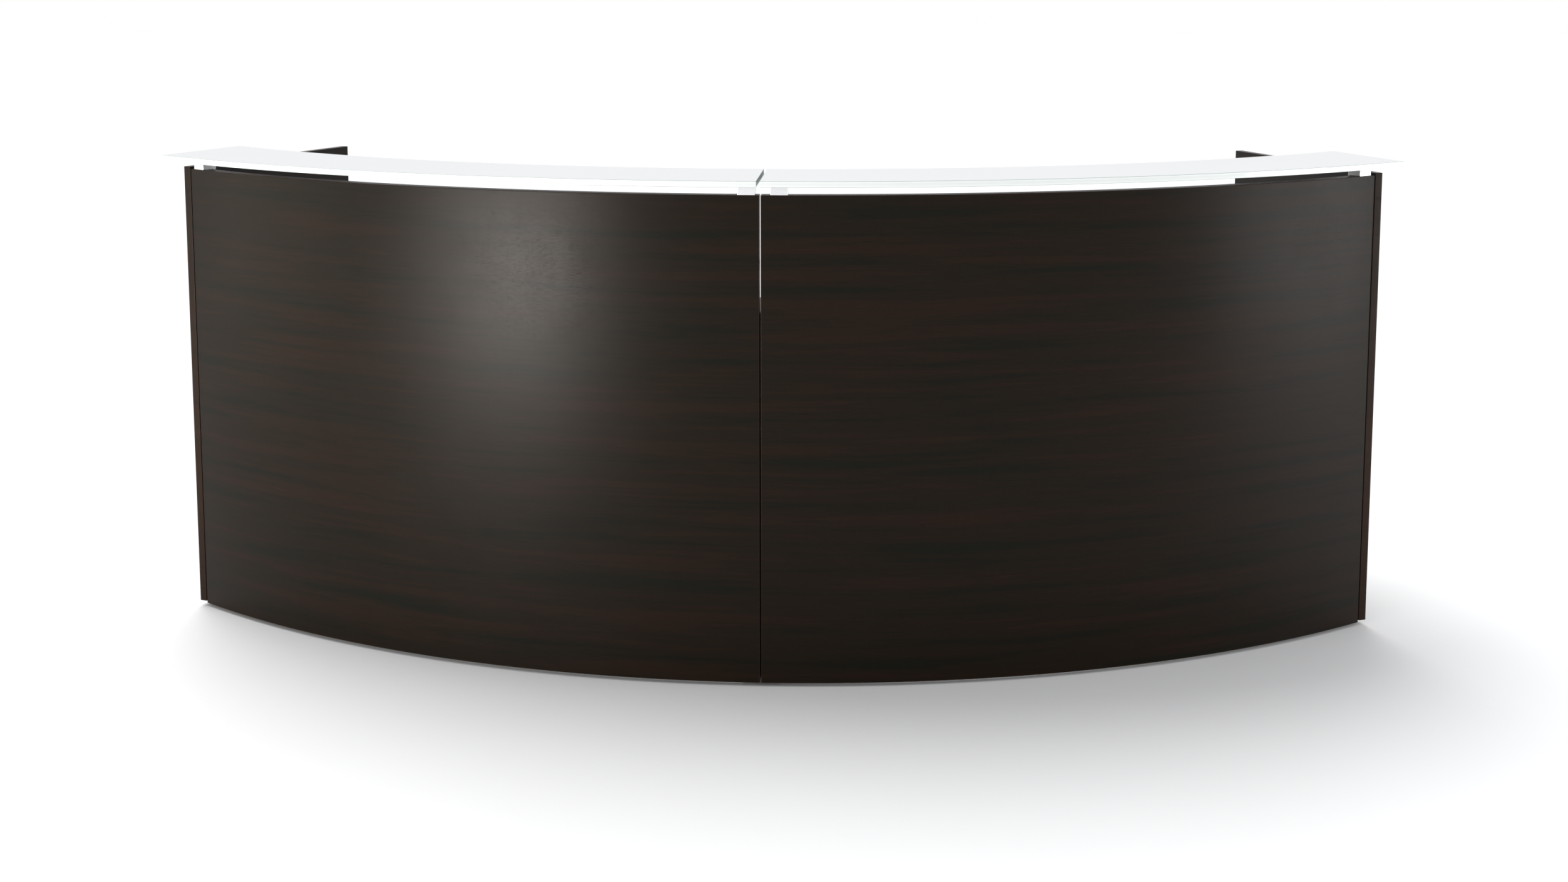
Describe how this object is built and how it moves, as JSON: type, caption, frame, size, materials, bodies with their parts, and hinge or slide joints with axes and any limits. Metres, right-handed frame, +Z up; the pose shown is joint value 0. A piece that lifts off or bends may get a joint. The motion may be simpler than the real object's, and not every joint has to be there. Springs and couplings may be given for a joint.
{
  "type": "checkout counter",
  "caption": "Curved two-module checkout counter: dark laminate front and end gables, white glass counter top on metal standoffs, staff worktop behind, levelling glides.",
  "frame": {"origin": "on the floor, in the middle of the counter's plan outline", "axes": "+X along the counter to the right as the customer sees it, +Y towards the staff side, +Z up"},
  "size_m": [2.7722, 1.0836, 1.067],
  "materials": {
    "espresso_laminate": "satin dark woodgrain laminate",
    "stained_timber": "stained sawn timber",
    "white_glass": "polished, back-painted white",
    "satin_aluminium": "satin",
    "zinc_steel": "zinc plated",
    "clear_pad": "clear soft pad",
    "black_plastic": "fine texture"
  },
  "bodies": {
    "counter": {"curved_panel_right": "espresso_laminate", "curved_panel_left": "espresso_laminate", "gable_right": "espresso_laminate", "gable_left": "espresso_laminate", "inner_support_right": "espresso_laminate", "inner_support_left": "espresso_laminate", "worktop_right": "espresso_laminate", "worktop_left": "espresso_laminate", "glass_top_right": "white_glass", "glass_top_left": "white_glass", "corner_blocks_right": "stained_timber", "corner_blocks_left": "stained_timber", "gable_cleat_right": "zinc_steel", "gable_cleat_left": "zinc_steel", "support_cleat_right": "zinc_steel", "support_cleat_left": "zinc_steel", "grommet_ring_right": "black_plastic", "grommet_ring_left": "black_plastic", "seam_batten": "stained_timber", "batten_screws": "zinc_steel", "joining_bolts": "zinc_steel", "joining_sleeves": "zinc_steel", "seam_standoff_left": "satin_aluminium", "seam_standoff_right": "satin_aluminium", "end_standoff_left": "satin_aluminium", "end_standoff_right": "satin_aluminium", "glass_pads": "clear_pad", "standoff_screws": "zinc_steel", "worktop_brackets_right": "zinc_steel", "worktop_brackets_left": "zinc_steel", "bracket_screws_right": "zinc_steel", "bracket_screws_left": "zinc_steel", "glide_inserts_right": "zinc_steel", "glide_inserts_left": "zinc_steel"},
    "gable_front_glide_foot_right": {"gable_front_glide_foot_right": "black_plastic"},
    "gable_front_glide_stud_right": {"gable_front_glide_stud_right": "zinc_steel"},
    "gable_rear_glide_foot_right": {"gable_rear_glide_foot_right": "black_plastic"},
    "gable_rear_glide_stud_right": {"gable_rear_glide_stud_right": "zinc_steel"},
    "support_front_glide_foot_right": {"support_front_glide_foot_right": "black_plastic"},
    "support_front_glide_stud_right": {"support_front_glide_stud_right": "zinc_steel"},
    "support_rear_glide_foot_right": {"support_rear_glide_foot_right": "black_plastic"},
    "support_rear_glide_stud_right": {"support_rear_glide_stud_right": "zinc_steel"},
    "gable_front_glide_foot_left": {"gable_front_glide_foot_left": "black_plastic"},
    "gable_front_glide_stud_left": {"gable_front_glide_stud_left": "zinc_steel"},
    "gable_rear_glide_foot_left": {"gable_rear_glide_foot_left": "black_plastic"},
    "gable_rear_glide_stud_left": {"gable_rear_glide_stud_left": "zinc_steel"},
    "support_front_glide_foot_left": {"support_front_glide_foot_left": "black_plastic"},
    "support_front_glide_stud_left": {"support_front_glide_stud_left": "zinc_steel"},
    "support_rear_glide_foot_left": {"support_rear_glide_foot_left": "black_plastic"},
    "support_rear_glide_stud_left": {"support_rear_glide_stud_left": "zinc_steel"},
    "grommet_cap_right": {"grommet_cap_right": "black_plastic"},
    "grommet_cap_left": {"grommet_cap_left": "black_plastic"}
  },
  "joints": [
    {"name": "gable_front_right_lift", "type": "slide", "parent": "counter", "child": "gable_front_glide_foot_right", "axis": [0, 0, -1], "range_m": [-0.0015, 0.015]},
    {"name": "gable_front_right_screw", "type": "hinge", "parent": "gable_front_glide_foot_right", "child": "gable_front_glide_stud_right", "pos_m": [1.32624, 0.0379, 0], "axis": [0, 0, -1], "range_deg": [-433, 4321]},
    {"name": "gable_rear_right_lift", "type": "slide", "parent": "counter", "child": "gable_rear_glide_foot_right", "axis": [0, 0, -1], "range_m": [-0.0015, 0.015]},
    {"name": "gable_rear_right_screw", "type": "hinge", "parent": "gable_rear_glide_foot_right", "child": "gable_rear_glide_stud_right", "pos_m": [1.14081, 0.49686, 0], "axis": [0, 0, -1], "range_deg": [-433, 4321]},
    {"name": "support_front_right_lift", "type": "slide", "parent": "counter", "child": "support_front_glide_foot_right", "axis": [0, 0, -1], "range_m": [-0.0015, 0.015]},
    {"name": "support_front_right_screw", "type": "hinge", "parent": "support_front_glide_foot_right", "child": "support_front_glide_stud_right", "pos_m": [0.009, -0.38847, 0], "axis": [0, 0, -1], "range_deg": [-433, 4321]},
    {"name": "support_rear_right_lift", "type": "slide", "parent": "counter", "child": "support_rear_glide_foot_right", "axis": [0, 0, -1], "range_m": [-0.0015, 0.015]},
    {"name": "support_rear_right_screw", "type": "hinge", "parent": "support_rear_glide_foot_right", "child": "support_rear_glide_stud_right", "pos_m": [0.009, -0.07247, 0], "axis": [0, 0, -1], "range_deg": [-433, 4321]},
    {"name": "gable_front_left_lift", "type": "slide", "parent": "counter", "child": "gable_front_glide_foot_left", "axis": [0, 0, -1], "range_m": [-0.0015, 0.015]},
    {"name": "gable_front_left_screw", "type": "hinge", "parent": "gable_front_glide_foot_left", "child": "gable_front_glide_stud_left", "pos_m": [-1.32624, 0.0379, 0], "axis": [0, 0, -1], "range_deg": [-433, 4321]},
    {"name": "gable_rear_left_lift", "type": "slide", "parent": "counter", "child": "gable_rear_glide_foot_left", "axis": [0, 0, -1], "range_m": [-0.0015, 0.015]},
    {"name": "gable_rear_left_screw", "type": "hinge", "parent": "gable_rear_glide_foot_left", "child": "gable_rear_glide_stud_left", "pos_m": [-1.14081, 0.49686, 0], "axis": [0, 0, -1], "range_deg": [-433, 4321]},
    {"name": "support_front_left_lift", "type": "slide", "parent": "counter", "child": "support_front_glide_foot_left", "axis": [0, 0, -1], "range_m": [-0.0015, 0.015]},
    {"name": "support_front_left_screw", "type": "hinge", "parent": "support_front_glide_foot_left", "child": "support_front_glide_stud_left", "pos_m": [-0.009, -0.36247, 0], "axis": [0, 0, -1], "range_deg": [-433, 4321]},
    {"name": "support_rear_left_lift", "type": "slide", "parent": "counter", "child": "support_rear_glide_foot_left", "axis": [0, 0, -1], "range_m": [-0.0015, 0.015]},
    {"name": "support_rear_left_screw", "type": "hinge", "parent": "support_rear_glide_foot_left", "child": "support_rear_glide_stud_left", "pos_m": [-0.009, -0.04647, 0], "axis": [0, 0, -1], "range_deg": [-433, 4321]},
    {"name": "cap_right_turn", "type": "hinge", "parent": "counter", "child": "grommet_cap_right", "pos_m": [0.66428, -0.23781, 0.737], "axis": [0, 0, 1], "continuous": true},
    {"name": "cap_left_turn", "type": "hinge", "parent": "counter", "child": "grommet_cap_left", "pos_m": [-0.66428, -0.23781, 0.737], "axis": [0, 0, 1], "continuous": true}
  ],
  "couplings": [
    {"joint": "gable_front_right_screw", "follows": "gable_front_right_lift", "rad_per_m": 5026.5},
    {"joint": "gable_rear_right_screw", "follows": "gable_rear_right_lift", "rad_per_m": 5026.5},
    {"joint": "support_front_right_screw", "follows": "support_front_right_lift", "rad_per_m": 5026.5},
    {"joint": "support_rear_right_screw", "follows": "support_rear_right_lift", "rad_per_m": 5026.5},
    {"joint": "gable_front_left_screw", "follows": "gable_front_left_lift", "rad_per_m": 5026.5},
    {"joint": "gable_rear_left_screw", "follows": "gable_rear_left_lift", "rad_per_m": 5026.5},
    {"joint": "support_front_left_screw", "follows": "support_front_left_lift", "rad_per_m": 5026.5},
    {"joint": "support_rear_left_screw", "follows": "support_rear_left_lift", "rad_per_m": 5026.5}
  ]
}
